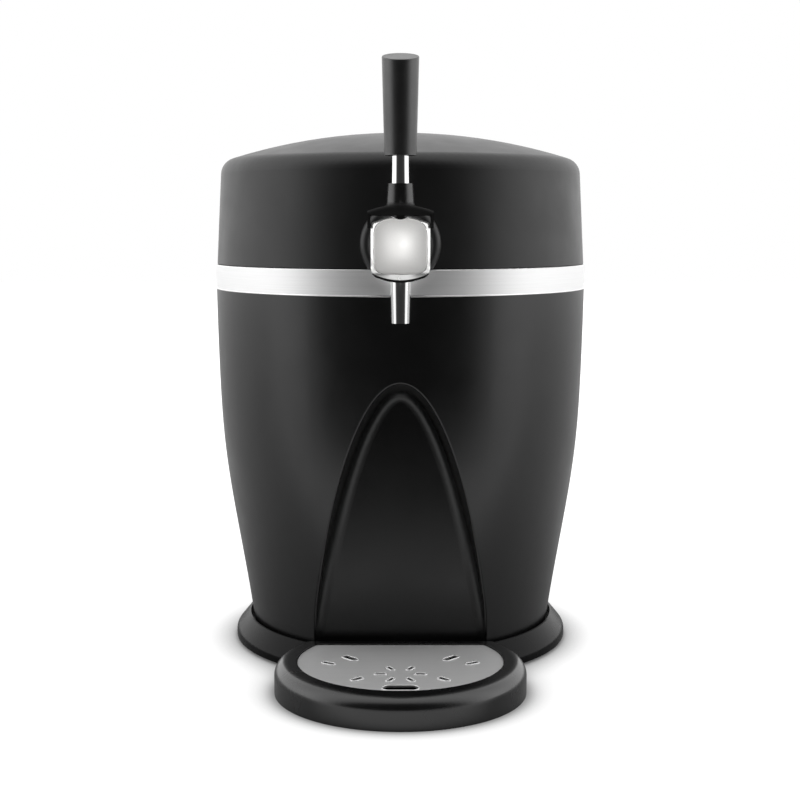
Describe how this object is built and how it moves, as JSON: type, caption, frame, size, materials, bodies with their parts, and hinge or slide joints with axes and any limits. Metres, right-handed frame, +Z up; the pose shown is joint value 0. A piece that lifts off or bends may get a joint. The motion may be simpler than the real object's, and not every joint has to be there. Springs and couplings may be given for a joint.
{
  "type": "mini keg beer dispenser",
  "caption": "Tabletop cooler for a mini keg: barrel-shaped body with arched front recess, hinged domed lid, lever tap with chrome spout, round drip tray and a thermoelectric cooling pack behind",
  "frame": {"origin": "on the barrel's upright axis at the level of the table that the foot ring stands on", "axes": "+Z up, -Y is the front with the tap and tray, +X is the right-hand side seen from the front"},
  "size_m": [0.2704, 0.3878, 0.414],
  "materials": {
    "body_black": "satin black moulded plastic",
    "band_steel": "steel brushed around the band",
    "plinth_black": "satin black moulded plastic",
    "foot_rubber": "soft matte rubber",
    "screw_steel": "zinc plated steel",
    "well_aluminium": "drawn aluminium",
    "foam_grey": "closed-cell foam",
    "sensor_steel": "steel probe sleeve",
    "deck_black": "matte black plastic",
    "seal_rubber": "soft silicone rubber",
    "sink_aluminium": "extruded aluminium",
    "ceramic_white": "white ceramic faces",
    "fan_black": "moulded fan plastic",
    "housing_black": "satin black moulded plastic",
    "board_green": "lacquered circuit board",
    "inlet_black": "glossy black plastic",
    "switch_black": "glossy black rocker",
    "lid_black": "satin black moulded plastic",
    "liner_grey": "light grey liner plastic",
    "tap_black": "semi-gloss black plastic",
    "cap_chrome": "chromed frame with bevelled edge",
    "plate_satin": "satin metal plate",
    "spout_chrome": "polished chrome",
    "nut_brass": "machined brass",
    "grip_black": "satin dark grip",
    "valve_steel": "stainless steel",
    "tray_black": "satin black moulded plastic",
    "drip_steel": "brushed stainless sheet"
  },
  "bodies": {
    "cabinet": {"outer_shell": "body_black", "trim_band": "band_steel", "base_plinth": "plinth_black", "foot_ring": "foot_rubber", "base_screws": "screw_steel", "keg_well": "well_aluminium", "floor_pad": "foam_grey", "insulation_jacket": "foam_grey", "temperature_sensor": "sensor_steel", "well_deck": "deck_black", "lid_gasket": "seal_rubber", "cold_block": "sink_aluminium", "peltier_module": "ceramic_white", "heat_sink": "sink_aluminium", "cooler_screws": "screw_steel", "fan_frame": "fan_black", "fan_screws": "screw_steel", "rear_housing": "housing_black", "housing_screws": "screw_steel", "control_board": "board_green", "power_inlet": "inlet_black", "switch_frame": "inlet_black", "hinge_base": "housing_black", "hinge_screws": "screw_steel", "hinge_pin": "screw_steel", "tap_post": "deck_black", "post_screws": "screw_steel", "tap_gasket": "seal_rubber", "neck_nut": "nut_brass", "tap_body": "tap_black", "pivot_pin": "screw_steel", "face_cap": "cap_chrome", "face_plate": "plate_satin", "spout_tube": "spout_chrome", "valve_spring": "valve_steel"},
    "lid": {"lid_shell": "lid_black", "lid_liner": "liner_grey", "lid_insulation": "foam_grey", "liner_screws": "screw_steel", "lid_hinge_arm": "lid_black", "arm_screws": "screw_steel"},
    "lever": {"lever_hood": "tap_black", "lever_stem": "spout_chrome", "handle_grip": "grip_black"},
    "plunger": {"valve_plunger": "valve_steel", "plunger_seal": "seal_rubber"},
    "fan": {"fan_rotor": "fan_black"},
    "rocker": {"power_switch": "switch_black"},
    "tray": {"drip_tray": "tray_black"},
    "plate": {"drip_plate": "drip_steel"}
  },
  "joints": [
    {"name": "lid_hinge", "type": "hinge", "parent": "cabinet", "child": "lid", "pos_m": [0, 0.147, 0.271], "axis": [-1, 0, 0], "range_deg": [0, 95]},
    {"name": "lever_pivot", "type": "hinge", "parent": "cabinet", "child": "lever", "pos_m": [0, -0.159, 0.298], "axis": [1, 0, 0], "range_deg": [0, 33], "stiffness_Nm_per_rad": 0.35, "springref_deg": -11.46},
    {"name": "valve_slide", "type": "slide", "parent": "cabinet", "child": "plunger", "axis": [0, 1, 0], "range_m": [0, 0.0047], "deforming": ["valve_spring"]},
    {"name": "fan_spin", "type": "hinge", "parent": "cabinet", "child": "fan", "pos_m": [0, 0.1425, 0.125], "axis": [0, 1, 0], "continuous": true},
    {"name": "switch_rock", "type": "hinge", "parent": "cabinet", "child": "rocker", "pos_m": [0.034, 0.162, 0.05], "axis": [1, 0, 0], "range_deg": [0, 12]},
    {"name": "tray_slide", "type": "slide", "parent": "cabinet", "child": "tray", "axis": [0, -1, 0], "range_m": [0, 0.12]},
    {"name": "plate_lift", "type": "slide", "parent": "tray", "child": "plate", "axis": [0, 0, 1], "range_m": [0, 0.03]}
  ],
  "couplings": [
    {"joint": "valve_slide", "follows": "lever_pivot", "m_per_rad": 0.008}
  ]
}
